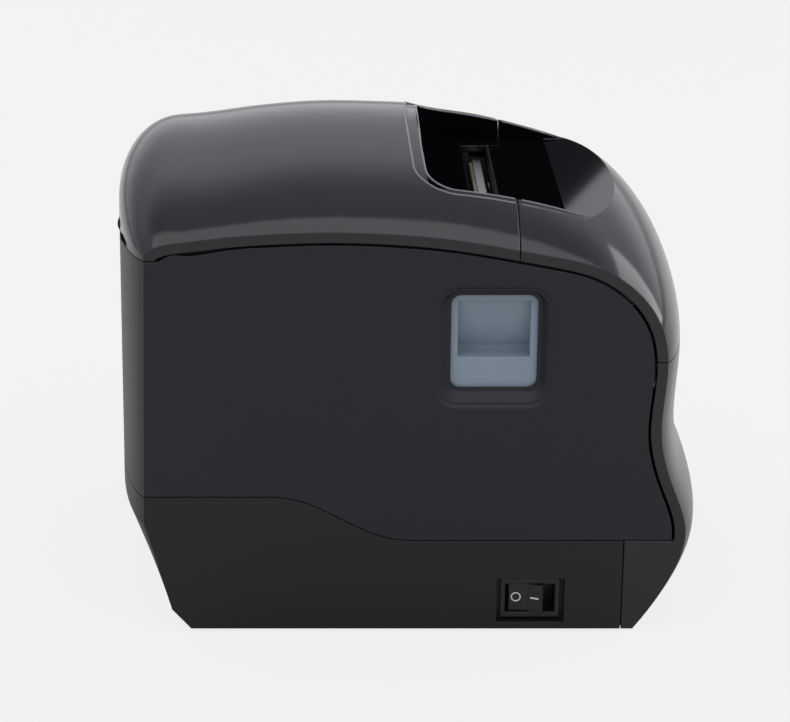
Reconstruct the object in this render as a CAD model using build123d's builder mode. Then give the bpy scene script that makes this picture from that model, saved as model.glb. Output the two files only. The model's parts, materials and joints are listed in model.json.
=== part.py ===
"""A desktop thermal receipt printer with a hinged lid over a drop-in paper roll.

The origin is under the middle of the body. +X is to the right of someone who
faces the front, the front looks along -Y, and +Z is up. Sizes are millimetres.
"""

import os
from math import acos, asin, cos, hypot, pi, radians, sin, sqrt, tan

from build123d import *

os.makedirs("parts", exist_ok=True)

# Overall size of the body
width = 148.0
depth = 211.8
top = 171.8
foot_height = 1.5
front = -depth / 2
rear = depth / 2
half = width / 2

# Walls, gaps and fits
wall = 2.4
parting_gap = 0.4
lid_gap = 1.0
running_gap = 0.3
pin_clearance = 0.05
roundness = 0.96
lip = 3.6

# Heights and places that the outer parts share
nose_seam = 103.0
rear_seam = top - 30.6
split_y = front + 69.9
floor_z = top - 22.8
base_front_seam = 36.0
base_rear_seam = 52.6
bezel_seam_y = front + 30.5

# Sunken area in the top
well_half = 52.0
well_rear = split_y + 27.3
well_draft = 15.0
well_corner = 7.0
rim_width = 4.0
rim_depth = 0.9
slot_half = 42.6
slot_front = split_y + 5.0
slot_rear = split_y + 15.0

# Hinge of the lid
hinge_y = rear - 5.5
hinge_z = rear_seam - 1.2
knuckle_radius = 4.0
hinge_pin_radius = 1.6
knuckle_ends = (12.0, 24.0, 31.0)
knuckle_gap = 0.4

# Platen, head and gears of the mechanism
platen_y = split_y + 18.5
platen_z = floor_z - 12.0
platen_radius = 6.5
platen_half = 41.5
platen_shaft_radius = 3.0
bush_radius = 5.0
gear_module = 0.8
platen_teeth = 21
idler_teeth = 30
pinion_teeth = 15
gear_width = 4.6
gear_x = 50.6
pressure_angle = 20.0
tooth_backlash = 0.22
to_idler = 250.0
to_pinion = 225.0
idler_pin_radius = 2.0
motor_shaft_radius = 1.5
paper_gap = 0.3
head_half = 40.5
head_pivot_y = platen_y - 12.0
head_pivot_z = platen_z - 14.0
head_pin_radius = 1.5
tear_y = slot_front - 0.4
tear_thickness = 0.8

# Frame of the mechanism
frame_half = 48.0
sheet = 1.5
motor_radius = 14.5
motor_x = (27.0, 46.5)
shelf_z = 90.0
shelf_half = 57.0
frame_front = split_y - 20.0
frame_rear = split_y + 27.0
frame_tabs = (frame_front + 8.0, frame_rear - 7.0)
spring_wall_y = frame_front + 14.5
arm_x = (43.2, 46.2)
striker_rib = (59.2, 61.7)

# Media bay
deck_z = top - 39.8
roll_radius = 41.5
bay_clearance = 3.0
bay_radius = roll_radius + bay_clearance
bay_half = 46.0
bay_wall = 2.0
bay_y = rear - 63.9
bay_z = deck_z - 34.0
trough_front = split_y + 28.0
leg_radius = 4.0
leg_foot_z = 40.0
right_legs = ((51, bay_y - 28), (51, bay_y + 34), (46, frame_front + 3))
leg_places = [(side * x, y) for side in (-1, 1) for x, y in right_legs]

# Paper guides
guide_thickness = 2.0
guide_face = 41.0
guide_rise = 26.0
guide_hub = 9.0
guide_travel = 28.0
guide_teeth = 12
rack_module = 0.8
rack_height = 4.0
rack_back = 3.0
rack_z = leg_foot_z + 4.5
rack_end = 4.0
rack_line = guide_teeth * rack_module / 2
guide_pin_radius = 2.0

# Latches in the sides
latch_y = split_y + 8.0
latch_z = top - 62.2
dish_y = latch_y + 0.4
dish_z = latch_z - 1.3
dish_length = 41.0
dish_height = 44.5
dish_depth = 3.0
latch_window = (30.0, 34.0)
latch_travel = 4.0
window_wall = 1.2
slider_flange = (36.0, 39.6)
slider_thickness = 2.0
scoop_half = 12.5
scoop_low = latch_z - 6.0
scoop_high = latch_z + 14.5
scoop_depth = 8.0
peg_radius = 1.5
hook_y = split_y + 36.0
hook_z = top - 59.8
hook_inner_x = 56.6
hook_thickness = 2.0
striker_y = split_y + 22.5
striker_z = top - 37.8
striker_radius = 1.5
hook_pin_radius = 2.0
spring_x = -half + 8.0
spring_foot_z = latch_z - 29.4

# Screws and bosses
boss_radius = 3.6
screw_radius = 1.4
screw_head_radius = 2.7
screw_head = 1.8
lid_boss = (30.0, split_y + 43.0)

# Board, ports and feet of the base
board_half = 44.0
board_y = (-46.0, 62.0)
board_z = 10.0
board_posts = ((-38, -40), (38, -40), (-38, 56), (38, 56))
port_panel_y = rear - 19.9
port_x = (-6.0, 46.0)
port_z = (14.0, 36.0)
port_mid_z = port_z[0] + 7.7
power_x = 6.0
power_size = 14.0
data_x = 32.0
data_size = 12.0
port_height = 11.0
foot_places = ((-58, -60), (58, -60), (-58, 62), (58, 62))
foot_radius = 7.0
foot_pocket = 1.5

# Power switch in the left side of the base
switch_y = front + 63.1
switch_z = 12.6
switch_recess = (24.2, 17.0)
switch_recess_depth = 4.0
switch_bezel = (21.0, 15.0)
switch_opening = (17.9, 11.2)
rocker_size = (12.4, 10.6)
rocker_pivot_depth = 7.0
rocker_tilt = 12.8

# Button and light on the front
button_x = 44.0
button_z = 84.0
button_radius = 6.0
light_x = 26.0
light_radius = 1.5
panel_y = front + 20.0

# Side and middle outlines of the body, from the toe over the nose to the rear corner.
# Each station holds the point on the flat side and the point on the middle plane.
outline = [
    ((front + 26.2, foot_height), (front + 21.9, foot_height)),
    ((front + 12.9, 23.0), (front + 4.4, 23.0)),
    ((front + 8.9, 38.9), (front, 38.9)),
    ((front + 14.1, 56.5), (front + 6.0, 56.5)),
    ((front + 19.0, 76.0), (front + 8.2, 76.0)),
    ((front + 17.9, top - 68.2), (front + 7.5, top - 67.1)),
    ((front + 21.2, top - 54.4), (front + 11.1, top - 51.3)),
    ((front + 30.0, top - 42.6), (front + 19.8, top - 35.0)),
    ((front + 44.4, top - 34.0), (front + 37.2, top - 18.8)),
    ((front + 53.4, top - 31.6), (front + 47.4, top - 13.7)),
    ((front + 63.2, top - 29.7), (front + 58.4, top - 9.3)),
    ((front + 80.9, top - 26.4), (front + 77.9, top - 4.0)),
    ((front + 97.3, top - 24.0), (front + 97.3, top - 1.2)),
    ((rear - 93.9, top - 22.4), (rear - 93.9, top - 0.2)),
    ((rear - 73.2, top - 22.0), (rear - 73.2, top)),
    ((rear - 55.9, top - 22.7), (rear - 55.9, top - 1.3)),
    ((rear - 41.4, top - 23.8), (rear - 41.4, top - 3.3)),
    ((rear - 25.9, top - 25.7), (rear - 25.9, top - 5.3)),
    ((rear - 18.3, top - 27.2), (rear - 13.9, top - 6.9)),
    ((rear - 15.5, top - 28.8), (rear - 5.4, top - 12.5)),
    ((rear - 13.9, rear_seam), (rear - 0.8, rear_seam + 6.6)),
]
rear_low = ((rear - 11.5, 42.4), (rear, 43.5))
heel_high = ((rear - 20.7, 9.0), (rear - 18.0, 9.0))
heel = ((rear - 27.4, foot_height), (rear - 24.6, foot_height))


def crown_share(x):
    """How far the section at x has swollen from the side outline to the middle one."""
    at_side = sqrt(1 - roundness**2)
    return (sqrt(1 - (roundness * x / half) ** 2) - at_side) / (1 - at_side)


def blend(pair, share):
    (side_y, side_z), (middle_y, middle_z) = pair
    return (side_y + share * (middle_y - side_y), side_z + share * (middle_z - side_z))


def moved_in(points, inset):
    """The closed outline with every side moved in by the inset."""
    moved = []
    for i, (y, z) in enumerate(points):
        before = points[i - 1]
        after = points[(i + 1) % len(points)]
        first = hypot(y - before[0], z - before[1])
        second = hypot(after[0] - y, after[1] - z)
        n1 = ((z - before[1]) / first, -(y - before[0]) / first)
        n2 = ((after[1] - z) / second, -(after[0] - y) / second)
        share = inset / (1 + n1[0] * n2[0] + n1[1] * n2[1])
        moved.append((y + share * (n1[0] + n2[0]), z + share * (n1[1] + n2[1])))
    return moved


def section_points(share, inset):
    stations = [*outline, rear_low, heel_high, heel]
    return moved_in([blend(pair, share) for pair in stations], inset)


def body_form(inset):
    """The swollen outer form of the printer, or the same form moved in by a wall."""
    reach = asin(roundness)
    steps = 10
    with BuildPart() as form:
        for i in range(steps + 1):
            x = half * sin(reach * (2 * i / steps - 1)) / roundness
            points = section_points(crown_share(x), inset)
            with BuildSketch(Plane.YZ.offset(x * (half - inset) / half)):
                with BuildLine():
                    Spline(*points[: len(outline)])
                    Polyline(*points[len(outline) - 1 :], points[0])
                make_face()
        loft()
    return form.part


outer_form = body_form(0)
inner_form = body_form(wall)
skin_form = body_form(rim_depth)
side_line = section_points(0, 0)


def under_lip(inset):
    """Side view of what lies inside the shadow line that follows the side outline."""
    line = moved_in(side_line, inset)[: len(outline)]
    start = (line[0][0], -foot_height)
    with BuildSketch(Plane.YZ) as view:
        with BuildLine():
            Spline(*line)
            Polyline(line[-1], (rear + wall, line[-1][1]), (rear + wall, start[1]), start, line[0])
        make_face()
    return view.sketch


def above_base(shift):
    """Side view of what lies over the S shaped seam of the base, moved up by the shift."""
    low = base_front_seam + shift
    high = base_rear_seam + shift
    far = rear + wall
    with BuildSketch(Plane.YZ) as view:
        with BuildLine():
            Polyline((front - wall, low), (0, low))
            Bezier((0, low), (20, low), (30, high), (50, high))
            Polyline((50, high), (far, high), (far, top + wall))
            Polyline((far, top + wall), (front - wall, top + wall), (front - wall, low))
        make_face()
    return view.sketch


def box(x1, x2, y1, y2, z1, z2, mode=Mode.ADD):
    """A block between two corners."""
    with Locations(((x1 + x2) / 2, (y1 + y2) / 2, (z1 + z2) / 2)):
        Box(abs(x2 - x1), abs(y2 - y1), abs(z2 - z1), mode=mode)


def rod(x1, x2, y, z, radius, mode=Mode.ADD):
    """A round bar along X."""
    with Locations(Location(((x1 + x2) / 2, y, z), (0, 90, 0))):
        Cylinder(radius, abs(x2 - x1), mode=mode)


def post(x, y, z1, z2, radius, mode=Mode.ADD):
    """An upright round bar."""
    with Locations((x, y, (z1 + z2) / 2)):
        Cylinder(radius, z2 - z1, mode=mode)


def finish(piece, name):
    piece.part.label = name
    export_step(piece.part, f"parts/{name}.step")


def flank_angle(teeth, module, radius):
    """Half the angle that a tooth takes up at this radius."""
    pitch_radius = teeth * module / 2
    base_radius = pitch_radius * cos(radians(pressure_angle))
    alpha = acos(min(1, base_radius / radius))
    at_pitch = pi / (2 * teeth) - tooth_backlash / (4 * pitch_radius)
    involute = tan(alpha) - alpha
    return at_pitch + tan(radians(pressure_angle)) - radians(pressure_angle) - involute


def gear_points(teeth, module, phase):
    """Involute teeth, with one tooth centred on the phase angle in degrees."""
    pitch_radius = teeth * module / 2
    root = pitch_radius - 1.2 * module
    tip = pitch_radius + 0.92 * module
    low = max(root + 0.1, pitch_radius * cos(radians(pressure_angle)))
    points = []
    for tooth in range(teeth):
        middle = radians(phase) + tooth * 2 * pi / teeth
        radii = (root, (low + pitch_radius) / 2, tip)
        rising = [(r, middle - flank_angle(teeth, module, max(r, low))) for r in radii]
        falling = [(r, 2 * middle - angle) for r, angle in reversed(rising)]
        points += [(r * cos(angle), r * sin(angle)) for r, angle in rising + falling]
    return points


def gear(name, teeth, y, z, phase, bore):
    """A gear that turns about X, beside the right plate of the frame."""
    with BuildPart() as wheel:
        with BuildSketch(Plane.YZ.offset(gear_x)):
            with Locations((y, z)):
                Polygon(*gear_points(teeth, gear_module, phase), align=None)
        extrude(amount=gear_width)
        rod(gear_x, gear_x + gear_width, y, z, bore, mode=Mode.SUBTRACT)
    finish(wheel, name)


# The sunken area and the pan that lines it
def well_block(grow, low):
    """The tapered block of the sunken area, grown outwards and starting at a height."""
    rise = (low - floor_z) * tan(radians(well_draft))
    side = well_half + grow + rise
    back = well_rear + grow + rise
    reach = depth / 2
    with BuildPart() as block:
        with BuildSketch(Plane.XY.offset(low)) as plan:
            with Locations((0, back - reach / 2)):
                Rectangle(2 * side, reach)
            corners = plan.vertices().group_by(Axis.Y)[-1]
            fillet(corners, well_corner + grow)
        extrude(amount=top - low, taper=-well_draft)
    return block.part


well = well_block(0, floor_z)
well_pan = well_block(wall / cos(radians(well_draft)), floor_z - wall)
well_rim = well_block(rim_width, floor_z)

# The dome of both covers, hollow below, with the sunken area and a stepped rim
with BuildPart() as pan_space:
    add(inner_form)
    add(well_pan, mode=Mode.SUBTRACT)

with BuildPart() as rim_step:
    add(outer_form)
    add(skin_form, mode=Mode.SUBTRACT)
    add(well_rim, mode=Mode.INTERSECT)

with BuildPart() as dome:
    add(outer_form)
    add(pan_space.part, mode=Mode.SUBTRACT)
    add(well, mode=Mode.SUBTRACT)
    add(rim_step.part, mode=Mode.SUBTRACT)
    extrude(under_lip(lip), amount=width, both=True, mode=Mode.SUBTRACT)


def hinge_relief(grow):
    """Turned space round the hinge line, as wide as the lid's rear edge swings."""
    right = [(54, 0), (40, 4.0), (22, 6.2), (8, 6.9)]
    right = [(x + grow, radius + (grow if radius else 0)) for x, radius in right]
    left = [(-x, radius) for x, radius in reversed(right)]
    with BuildPart() as relief:
        with BuildSketch(Plane((0, hinge_y, hinge_z), x_dir=(1, 0, 0), z_dir=(0, -1, 0))):
            Polygon(*right, *left, align=None)
        revolve(axis=Axis((0, hinge_y, hinge_z), (1, 0, 0)))
    return relief.part


def both_sides(part, mode=Mode.ADD):
    """The part and its mirror image on the other side of the printer."""
    add(part, mode=mode)
    add(part.mirror(Plane.YZ), mode=mode)


# Rear cover, which is the lid
with BuildPart() as lid_bosses:
    for side in (-1, 1):
        post(side * lid_boss[0], lid_boss[1], floor_z - wall, top, boss_radius)
    add(outer_form, mode=Mode.INTERSECT)

with BuildPart() as lid_shell:
    add(dome.part)
    box(-half, half, split_y + parting_gap / 2, rear + wall, nose_seam, top + wall, mode=Mode.INTERSECT)
    box(-slot_half, slot_half, split_y, slot_rear, nose_seam, floor_z + wall, mode=Mode.SUBTRACT)
    add(lid_bosses.part)
    knuckle_reach = knuckle_ends[2] + knuckle_gap
    rod(-knuckle_reach, knuckle_reach, hinge_y, hinge_z, knuckle_radius + knuckle_gap, mode=Mode.SUBTRACT)
    for side in (-1, 1):
        near, far = side * (knuckle_ends[0] + knuckle_gap), side * knuckle_ends[1]
        rod(near, far, hinge_y, hinge_z, knuckle_radius)
        box(near, far, hinge_y - 2.0, hinge_y + 2.6, hinge_z + 1.0, hinge_z + 7.0)
        post(side * lid_boss[0], lid_boss[1], floor_z - wall, floor_z + 8.0, screw_radius, mode=Mode.SUBTRACT)
    rod(-half, half, hinge_y, hinge_z, hinge_pin_radius + pin_clearance, mode=Mode.SUBTRACT)
finish(lid_shell, "lid_shell")

# Front cover with the tongue that carries the tear bar
with BuildPart() as nose_space:
    box(-half, half, front - wall, split_y - parting_gap / 2, nose_seam + parting_gap / 2, top + wall)
    box(-slot_half + 0.6, slot_half - 0.6, split_y - 1, tear_y, floor_z - wall, floor_z)

with BuildPart() as front_cover:
    add(dome.part)
    add(nose_space.part, mode=Mode.INTERSECT)
finish(front_cover, "front_cover")

# Stepped dish and window of a latch, in the left side
window_x = -half + dish_depth + window_wall

with BuildPart() as latch_seat:
    with BuildSketch(Plane.YZ.offset(-half + wall - 0.5)):
        with Locations((dish_y, dish_z)):
            RectangleRounded(dish_length + 5, dish_height + 5, 9)
    extrude(amount=window_x + half - wall + 0.5)

with BuildPart() as latch_dish:
    with BuildSketch(Plane.YZ.offset(-half)) as dish_rim:
        with Locations((dish_y, dish_z)):
            RectangleRounded(dish_length, dish_height, 8)
    with BuildSketch(Plane.YZ.offset(-half + 0.8)) as dish_step:
        with Locations((dish_y, dish_z)):
            RectangleRounded(dish_length - 2.4, dish_height - 2.4, 7)
    loft([dish_rim.sketch, dish_step.sketch])
    with BuildSketch(Plane.YZ.offset(-half + 0.8)) as dish_ledge:
        with Locations((dish_y, dish_z)):
            RectangleRounded(dish_length - 3.8, dish_height - 3.8, 6.4)
    with BuildSketch(Plane.YZ.offset(-half + dish_depth)) as dish_bottom:
        with Locations((latch_y, latch_z)):
            RectangleRounded(latch_window[0] + 2.4, latch_window[1] + 2.4, 4.4)
    loft([dish_ledge.sketch, dish_bottom.sketch])
    with BuildSketch(Plane.YZ.offset(-half + dish_depth - 0.5)) as window:
        with Locations((latch_y, latch_z)):
            RectangleRounded(*latch_window, 3.4)
    extrude(window.sketch, amount=wall + 1)

# What the left side wall carries for the latch: rails, lips, spring shelf and pin boss
flange_x = window_x + running_gap
flange_low = latch_z + 1.7 - slider_flange[1] / 2
lip_x = flange_x + slider_thickness + running_gap
with BuildPart() as latch_rails:
    for side in (-1, 1):
        edge = latch_y + side * (slider_flange[0] / 2 + running_gap)
        box(window_x - 0.5, lip_x + 1.6, edge, edge + side * 1.6, latch_z - 22, latch_z + 21)
        box(lip_x, lip_x + 1.6, edge - side * 2.2, edge + side * 1.6, latch_z - 22, latch_z + 21)
    box(-half + wall - 0.5, spring_x + 5, latch_y - 5, latch_y + 5, spring_foot_z - 1.6, spring_foot_z)
    rod(-half + wall - 0.5, -hook_inner_x - hook_thickness - running_gap, hook_y, hook_z, 4.2)

# Side walls and rear wall in one moulding, with a cove round the hinge and a lip behind the lid gap
with BuildPart() as hinge_cove:
    add(hinge_relief(1.8))
    box(-half, half, hinge_y - 9, rear, hinge_z - 10, hinge_z - 0.6, mode=Mode.INTERSECT)
    add(outer_form, mode=Mode.INTERSECT)
    add(hinge_relief(0), mode=Mode.SUBTRACT)
    outer_start = knuckle_ends[1] + knuckle_gap
    middle = (-knuckle_ends[0], knuckle_ends[0])
    for near, far in (middle, (outer_start, knuckle_ends[2]), (-outer_start, -knuckle_ends[2])):
        box(near, far, hinge_y - 3.8, hinge_y - 0.4, hinge_z - 8, hinge_z)
        rod(near, far, hinge_y, hinge_z, knuckle_radius)

with BuildPart() as gap_lip:
    extrude(under_lip(lip - 0.7), amount=half - wall - running_gap)
    extrude(under_lip(lip + lid_gap + 0.2), amount=half - wall + 0.2)
    extrude(under_lip(lip + lid_gap + 2.5), amount=half, mode=Mode.SUBTRACT)
    lip_side = half - wall - running_gap - 1.2
    box(lip_side, half, bezel_seam_y + 0.5, hinge_y - 14, nose_seam + 6, top, mode=Mode.INTERSECT)

with BuildPart() as mid_housing:
    add(outer_form)
    add(inner_form, mode=Mode.SUBTRACT)
    extrude(under_lip(lip + lid_gap), amount=width, both=True, mode=Mode.INTERSECT)
    extrude(above_base(parting_gap / 2), amount=width, both=True, mode=Mode.INTERSECT)
    both_sides(gap_lip.part)
    both_sides(latch_seat.part)
    both_sides(latch_rails.part)
    both_sides(latch_dish.part, mode=Mode.SUBTRACT)
    for side in (-1, 1):
        rod(side * (half - wall), side * hook_inner_x, hook_y, hook_z, hook_pin_radius, mode=Mode.SUBTRACT)
    add(hinge_relief(0), mode=Mode.SUBTRACT)
    add(hinge_cove.part)
    rod(-half, half, hinge_y, hinge_z, hinge_pin_radius + pin_clearance, mode=Mode.SUBTRACT)
finish(mid_housing, "mid_housing")

with BuildPart() as hinge_pin:
    rod(-knuckle_ends[2], knuckle_ends[2], hinge_y, hinge_z, hinge_pin_radius)
finish(hinge_pin, "hinge_pin")

# Bezel: the front wall and belly with the strip that wraps on to the sides
with BuildPart() as behind_bezel:
    extrude(under_lip(lip), amount=width, both=True)
    extrude(above_base(-parting_gap / 2), amount=width, both=True, mode=Mode.INTERSECT)
    box(-width, width, bezel_seam_y - parting_gap / 2, rear + wall, -wall, base_rear_seam)

with BuildPart() as panel_posts:
    for x in (light_x - 8, button_x + 10):
        with Locations(Location((x, panel_y, button_z - 9), (90, 0, 0))):
            Cylinder(2.6, panel_y - front, align=(Align.CENTER, Align.CENTER, Align.MIN))
    add(outer_form, mode=Mode.INTERSECT)

with BuildPart() as front_bezel:
    add(outer_form)
    add(inner_form, mode=Mode.SUBTRACT)
    add(behind_bezel.part, mode=Mode.SUBTRACT)
    box(-half, half, front - wall, rear, nose_seam - parting_gap / 2, top + wall, mode=Mode.SUBTRACT)
    add(panel_posts.part)
    with Locations(Location((button_x, front + 10, button_z), (90, 0, 0))):
        Cylinder(button_radius + running_gap, 40, mode=Mode.SUBTRACT)
    with Locations(Location((light_x, front + 10, button_z), (90, 0, 0))):
        Cylinder(light_radius, 40, mode=Mode.SUBTRACT)
finish(front_bezel, "front_bezel")

# Button, light pipe and small board behind the bezel
with BuildPart() as feed_button:
    with Locations(Location((button_x, panel_y - 4.0, button_z), (90, 0, 0))):
        Cylinder(button_radius, 30, align=(Align.CENTER, Align.CENTER, Align.MIN))
    add(body_form(-0.8), mode=Mode.INTERSECT)
    with Locations(Location((button_x, panel_y - 4.0, button_z), (90, 0, 0))):
        Cylinder(button_radius + 1.6, 1.0, align=(Align.CENTER, Align.CENTER, Align.MIN))
finish(feed_button, "feed_button")

with BuildPart() as status_light:
    with Locations(Location((light_x, panel_y, button_z), (90, 0, 0))):
        Cylinder(light_radius, 30, align=(Align.CENTER, Align.CENTER, Align.MIN))
    add(outer_form, mode=Mode.INTERSECT)
finish(status_light, "status_light")

with BuildPart() as panel_board:
    box(light_x - 12, button_x + 14, panel_y, panel_y + 1.6, button_z - 13, button_z + 11)
    box(button_x - 3, button_x + 3, panel_y - 2.4, panel_y, button_z - 3, button_z + 3)
finish(panel_board, "panel_board")

# Base tray with the switch recess, the port bay, posts and foot pockets
with BuildPart() as switch_block:
    back_x = -half + switch_recess_depth
    side_y = switch_recess[0] / 2 + 2
    box(-half, back_x + 2, switch_y - side_y, switch_y + side_y, foot_height + 0.5, switch_z + 10.5)
    add(outer_form, mode=Mode.INTERSECT)

with BuildPart() as port_walls:
    box(port_x[0] - 2, port_x[1] + 2, port_panel_y - 2, rear, port_z[0] - 2, port_z[1] + 2)
    add(outer_form, mode=Mode.INTERSECT)

with BuildPart() as base_tray:
    add(outer_form)
    add(inner_form, mode=Mode.SUBTRACT)
    extrude(above_base(-parting_gap / 2), amount=width, both=True, mode=Mode.SUBTRACT)
    box(-half, half, bezel_seam_y + parting_gap / 2, rear, -1, top, mode=Mode.INTERSECT)
    add(switch_block.part)
    add(port_walls.part)
    box(port_x[0], port_x[1], port_panel_y, rear + 1, port_z[0], port_z[1], mode=Mode.SUBTRACT)
    with Locations((power_x, port_panel_y, port_mid_z)):
        Box(power_size + 0.4, 8, port_height + 0.4, mode=Mode.SUBTRACT)
    with Locations((data_x, port_panel_y, port_mid_z)):
        Box(data_size + 0.4, 8, port_height + 0.4, mode=Mode.SUBTRACT)
    with Locations((-half, switch_y, switch_z)):
        Box(2 * switch_recess_depth, *switch_recess, mode=Mode.SUBTRACT)
        Box(40, switch_bezel[0] - 2, switch_bezel[1] - 2, mode=Mode.SUBTRACT)
    for x, y in leg_places:
        post(x, y, foot_height + wall - 0.2, leg_foot_z, leg_radius + 1.0)
        post(x, y, foot_height - 1, leg_foot_z - 10, screw_head_radius + 0.4, mode=Mode.SUBTRACT)
        post(x, y, foot_height - 1, leg_foot_z + 1, screw_radius + 0.3, mode=Mode.SUBTRACT)
    for x, y in board_posts:
        post(x, y, foot_height + wall - 0.2, board_z, 3.0)
    for x, y in foot_places:
        post(x, y, 0, foot_height + foot_pocket, foot_radius, mode=Mode.SUBTRACT)
finish(base_tray, "base_tray")

with BuildPart() as rubber_feet:
    for x, y in foot_places:
        post(x, y, 0, foot_height + foot_pocket, foot_radius)
finish(rubber_feet, "rubber_feet")

# Power switch: bezel housing and rocker
pivot_x = back_x - 2.3 + rocker_pivot_depth
with BuildPart() as switch_housing:
    with Locations((back_x - 0.9, switch_y, switch_z)):
        Box(1.8, *switch_bezel)
    with Locations((back_x + 6.5, switch_y, switch_z)):
        Box(13, switch_bezel[0] - 2.4, switch_bezel[1] - 2.4)
    with Locations((back_x + 3.6, switch_y, switch_z)):
        Box(12, *switch_opening, mode=Mode.SUBTRACT)
    post(pivot_x, switch_y, switch_z - 6.4, switch_z + 6.4, 1.0 + pin_clearance, mode=Mode.SUBTRACT)
finish(switch_housing, "switch_housing")

with BuildPart() as switch_rocker:
    with BuildSketch(Plane.XY.offset(switch_z - rocker_size[1] / 2)):
        with Locations(Location((pivot_x, switch_y, 0), (0, 0, -rocker_tilt))):
            reach = rocker_size[0] / 2
            face = -rocker_pivot_depth
            Polygon((face, -reach), (2, -2.2), (2, 2.2), (face, reach), (face + 1, 0), align=None)
    extrude(amount=rocker_size[1])
    post(pivot_x, switch_y, switch_z - 6.2, switch_z + 6.2, 1.0)
finish(switch_rocker, "switch_rocker")

# Media bay: trough, end plates, decks, paper lip, front shelf and legs in one moulding
def trough(grow):
    """The room of the paper roll, round below and open above, grown by a wall."""
    radius = bay_radius + grow
    with BuildPart() as room:
        with BuildSketch(Plane.YZ.offset(-bay_half - grow)):
            with Locations((bay_y, bay_z)):
                Circle(radius)
            high = deck_z + 5
            front_edge = [(bay_y - radius, bay_z), (trough_front - grow, high)]
            Polygon(*front_edge, (bay_y + radius, high), (bay_y + radius, bay_z), align=None)
        extrude(amount=2 * (bay_half + grow))
    return room.part


with BuildPart() as media_bay:
    add(trough(bay_wall))
    box(-half, half, front, rear, deck_z, top, mode=Mode.SUBTRACT)
    box(-half, half, front, trough_front + 4, deck_z - 4.6, top, mode=Mode.SUBTRACT)
    for side in (-1, 1):
        edge = half - wall - running_gap
        box(side * (bay_half + 0.5), side * edge, hook_y + 6, rear - 17.4, deck_z - bay_wall, deck_z)
    box(-56, 56, bay_y + bay_radius - 1, hinge_y - 9 - running_gap, deck_z - bay_wall, deck_z)
    box(-shelf_half, shelf_half, frame_front - 6, trough_front + 7, shelf_z - bay_wall, shelf_z)
    with BuildSketch(Plane.YZ.offset(-bay_half)):
        low = deck_z - 6.6
        lip_points = [(trough_front + 1, low), (platen_y - 3, low + 2.2), (platen_y - 3, low + 3.6)]
        Polygon(*lip_points, (trough_front + 3, low + 2), align=None)
    extrude(amount=2 * bay_half)
    for x, y in leg_places:
        upper = shelf_z if y < trough_front else deck_z
        post(x, y, leg_foot_z, upper - bay_wall / 2, leg_radius)
        post(x, y, leg_foot_z - 1, leg_foot_z + 14, screw_radius, mode=Mode.SUBTRACT)
    bottom = bay_z - bay_radius
    post(0, bay_y, rack_z + 0.1, bottom - 1, guide_pin_radius)
    for side in (-1, 1):
        edge = bay_y + side * (rack_line + 1.2 * rack_module + rack_back + 0.4)
        box(-22, 22, edge, edge + side * 1.4, rack_z - 1.9, bottom + 2)
        box(-22, 22, edge - side * 2.4, edge + side * 1.4, rack_z - 1.9, rack_z - 0.3)
    add(trough(0), mode=Mode.SUBTRACT)
    for side in (-1, 1):
        stem = bay_y + side * (rack_line + 1.2 * rack_module + rack_back / 2)
        with Locations((side * (guide_face + (guide_thickness - guide_travel) / 2), stem, bottom)):
            Box(guide_travel + guide_thickness + 2, rack_back + 1, 6, mode=Mode.SUBTRACT)
    post(0, bay_y, rack_z - 1, rack_z + 6, 1.0, mode=Mode.SUBTRACT)
    for y in frame_tabs:
        for side in (-1, 1):
            post(side * (frame_half + 5), y, shelf_z - 3, shelf_z + 1, screw_radius, mode=Mode.SUBTRACT)
finish(media_bay, "media_bay")

def rack_points():
    """The toothed bar of a guide, seen from above, with its pitch line on y = 0."""
    pitch = pi * rack_module
    slope = tan(radians(pressure_angle))
    root, tip = -1.2 * rack_module, 0.92 * rack_module
    points = [(-guide_face - guide_thickness, root - rack_back), (-guide_face - guide_thickness, root)]
    for tooth in range(-15, 1):
        middle = (tooth + 0.5) * pitch
        for y, side in ((root, -1), (tip, -1), (tip, 1), (root, 1)):
            points.append((middle + side * ((pitch - tooth_backlash) / 4 - slope * y), y))
    return points + [(rack_end, root), (rack_end, root - rack_back)]


# Paper guides with their racks, and the pinion between them
with BuildPart() as guide_left:
    with BuildSketch(Plane.YZ.offset(-guide_face - guide_thickness)):
        with Locations((bay_y, bay_z)):
            Circle(bay_radius - 1.2)
            Circle(guide_hub, mode=Mode.SUBTRACT)
        with Locations((bay_y, bay_z + bay_radius)):
            Rectangle(2 * bay_radius, 2 * (bay_radius - guide_rise), mode=Mode.SUBTRACT)
    extrude(amount=guide_thickness)
    with BuildSketch(Plane.YZ.offset(-guide_face)):
        with Locations((bay_y, bay_z)):
            Circle(guide_hub + 3)
            Circle(guide_hub, mode=Mode.SUBTRACT)
    extrude(amount=1.6)
    back = bay_y - rack_line - 1.2 * rack_module - rack_back
    box(-guide_face - guide_thickness, -guide_face, back, back + rack_back, rack_z, bottom + 6)
    with BuildSketch(Plane.XY.offset(rack_z)):
        with Locations((0, bay_y - rack_line)):
            Polygon(*rack_points(), align=None)
    extrude(amount=rack_height)
finish(guide_left, "guide_left")

with BuildPart() as guide_right:
    add(guide_left.part.rotate(Axis((0, bay_y, 0), (0, 0, 1)), 180))
finish(guide_right, "guide_right")

with BuildPart() as guide_pinion:
    with BuildSketch(Plane.XY.offset(rack_z)):
        with Locations((0, bay_y)):
            Polygon(*gear_points(guide_teeth, rack_module, 90), align=None)
    extrude(amount=rack_height)
    post(0, bay_y, rack_z, rack_z + rack_height, guide_pin_radius + pin_clearance, mode=Mode.SUBTRACT)
finish(guide_pinion, "guide_pinion")

with BuildPart() as pinion_screw:
    post(0, bay_y, rack_z - 1.3, rack_z - 0.1, 3.2)
    post(0, bay_y, rack_z - 0.1, rack_z + 5, 1.0)
finish(pinion_screw, "pinion_screw")

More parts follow.
